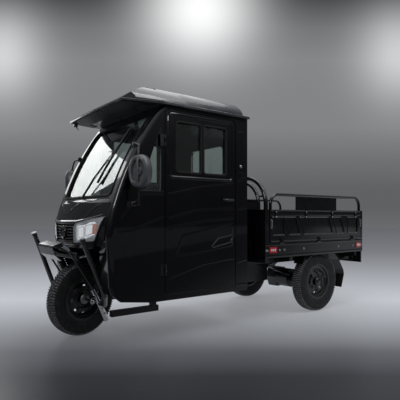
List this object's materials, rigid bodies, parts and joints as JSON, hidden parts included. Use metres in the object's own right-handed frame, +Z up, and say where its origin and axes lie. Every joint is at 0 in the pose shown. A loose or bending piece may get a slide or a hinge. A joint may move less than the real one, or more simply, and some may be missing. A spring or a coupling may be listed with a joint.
{
  "type": "cargo tricycle with enclosed cab",
  "caption": "Three-wheeled cargo vehicle with an enclosed cab over a steered front wheel and a drop-side load bed over a driven rear axle.",
  "frame": {"origin": "centre of the bounding box at ground level", "axes": "+Y to the rear along the vehicle's length, +X to its left, +Z up"},
  "size_m": [1.406, 3.1664, 1.8857],
  "materials": {
    "body_paint": "gloss",
    "chassis_paint": "satin",
    "wheel_paint": "satin",
    "tyre": "matte",
    "bright_metal": "polished",
    "handle_metal": "polished",
    "glass": "clear",
    "lamp_lens": "clear",
    "reflector_red": "gloss",
    "seat_cover": "satin",
    "trim_plastic": "matte"
  },
  "bodies": {
    "chassis": {"battery_box": "chassis_paint", "cab_floor": "body_paint", "cab_front": "body_paint", "cab_glass": "glass", "cab_header": "body_paint", "cab_nose": "body_paint", "cab_rear_wall": "body_paint", "cab_side_left": "body_paint", "cab_side_right": "body_paint", "cargo_bed": "body_paint", "chassis_frame": "chassis_paint", "dashboard": "trim_plastic", "door_hinges_left": "chassis_paint", "door_hinges_right": "chassis_paint", "drive_motor": "chassis_paint", "driver_seat": "seat_cover", "frame_neck": "chassis_paint", "grille": "trim_plastic", "headboard": "body_paint", "headboard_hoop": "body_paint", "headlamp_left": "lamp_lens", "headlamp_right": "lamp_lens", "leaf_springs": "chassis_paint", "mirror_left": "trim_plastic", "mirror_right": "trim_plastic", "mudguards": "chassis_paint", "rear_axle": "chassis_paint", "reflectors": "reflector_red", "roof": "body_paint", "seat_base": "body_paint", "tail_bar": "chassis_paint", "tail_lamps": "reflector_red", "wheel_arch": "trim_plastic", "windscreen": "glass", "wiper": "trim_plastic"},
    "steering": {"front_fork": "bright_metal", "fork_springs": "bright_metal", "front_fender": "chassis_paint", "front_guard": "chassis_paint", "handlebar": "trim_plastic"},
    "front_wheel": {"front_tyre": "tyre", "front_rim": "wheel_paint"},
    "rear_wheel_left": {"rear_tyre_left": "tyre", "rear_rim_left": "wheel_paint"},
    "rear_wheel_right": {"rear_tyre_right": "tyre", "rear_rim_right": "wheel_paint"},
    "door_left": {"door_left": "body_paint", "door_glass_left": "glass", "door_handle_left": "handle_metal"},
    "door_right": {"door_right": "body_paint", "door_glass_right": "glass", "door_handle_right": "handle_metal"},
    "side_board_left": {"side_board_left": "body_paint"},
    "side_board_right": {"side_board_right": "body_paint"},
    "tailgate": {"tailgate": "body_paint"}
  },
  "joints": [
    {"name": "steering_turn", "type": "hinge", "parent": "chassis", "child": "steering", "pos_m": [0, -1.31826, 0.27948], "axis": [0, 0.2079, 0.9781], "range_deg": [-32, 4]},
    {"name": "front_wheel_spin", "type": "hinge", "parent": "steering", "child": "front_wheel", "pos_m": [-0.01538, -1.25511, 0.27987], "axis": [0.9703, 0.2366, -0.0503], "continuous": true},
    {"name": "rear_left_spin", "type": "hinge", "parent": "chassis", "child": "rear_wheel_left", "pos_m": [0.48, 0.89174, 0.28], "axis": [1, 0, 0], "continuous": true},
    {"name": "rear_right_spin", "type": "hinge", "parent": "chassis", "child": "rear_wheel_right", "pos_m": [-0.48, 0.89174, 0.28], "axis": [1, 0, 0], "continuous": true},
    {"name": "door_left_hinge", "type": "hinge", "parent": "chassis", "child": "door_left", "pos_m": [0.537, -0.84626, 0.987], "axis": [0, 0, -1], "range_deg": [0, 75]},
    {"name": "door_right_hinge", "type": "hinge", "parent": "chassis", "child": "door_right", "pos_m": [-0.537, -0.84626, 0.987], "axis": [0, 0, 1], "range_deg": [0, 75]},
    {"name": "side_left_drop", "type": "hinge", "parent": "chassis", "child": "side_board_left", "pos_m": [0.566, 0.85674, 0.668], "axis": [0, 1, 0], "range_deg": [0, 172]},
    {"name": "side_right_drop", "type": "hinge", "parent": "chassis", "child": "side_board_right", "pos_m": [-0.566, 0.85674, 0.668], "axis": [0, -1, 0], "range_deg": [0, 172]},
    {"name": "tailgate_drop", "type": "hinge", "parent": "chassis", "child": "tailgate", "pos_m": [0, 1.57774, 0.668], "axis": [-1, 0, 0], "range_deg": [0, 172]}
  ]
}
